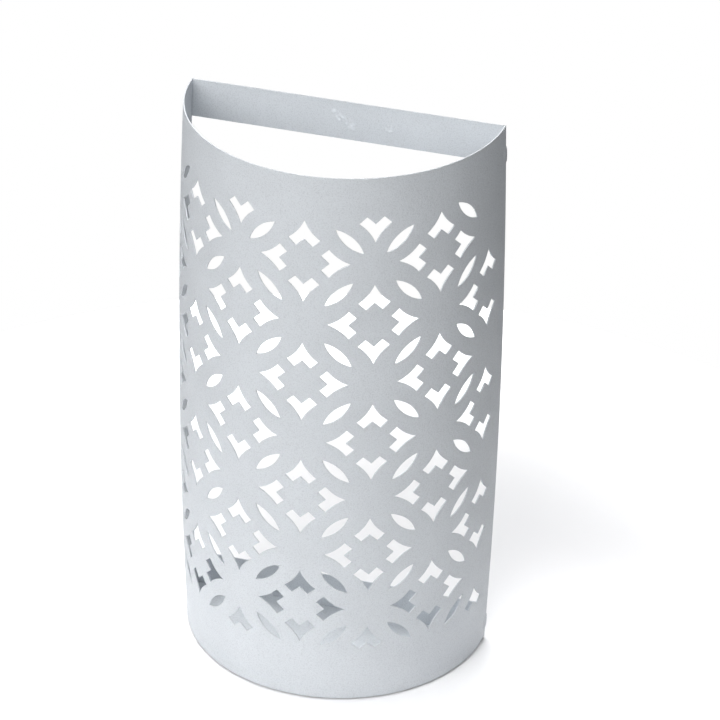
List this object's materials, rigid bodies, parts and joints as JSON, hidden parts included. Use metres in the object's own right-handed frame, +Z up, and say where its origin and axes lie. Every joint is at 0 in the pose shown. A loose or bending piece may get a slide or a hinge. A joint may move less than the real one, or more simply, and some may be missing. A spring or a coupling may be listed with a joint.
{
  "type": "umbrella stand",
  "caption": "Half-round sheet-steel umbrella stand with a pierced curved front, an open back tied by straps and a flat base plate.",
  "frame": {"origin": "middle of the bounding box at floor level, under the foot pads", "axes": "+Z up, -Y towards the curved pierced front, +Y towards the open back, +X along the straps"},
  "size_m": [0.275, 0.1382, 0.5],
  "materials": {
    "white_steel": "matte fine-grained powder coat",
    "coated_weld": "matte powder coat over a weld bead",
    "foot_rubber": "matte"
  },
  "bodies": {
    "root": {"pierced_shell": "white_steel", "top_strap": "white_steel", "bottom_strap": "white_steel", "base_plate": "white_steel", "strap_welds": "coated_weld", "base_welds": "coated_weld", "foot_pads": "foot_rubber"}
  },
  "joints": []
}
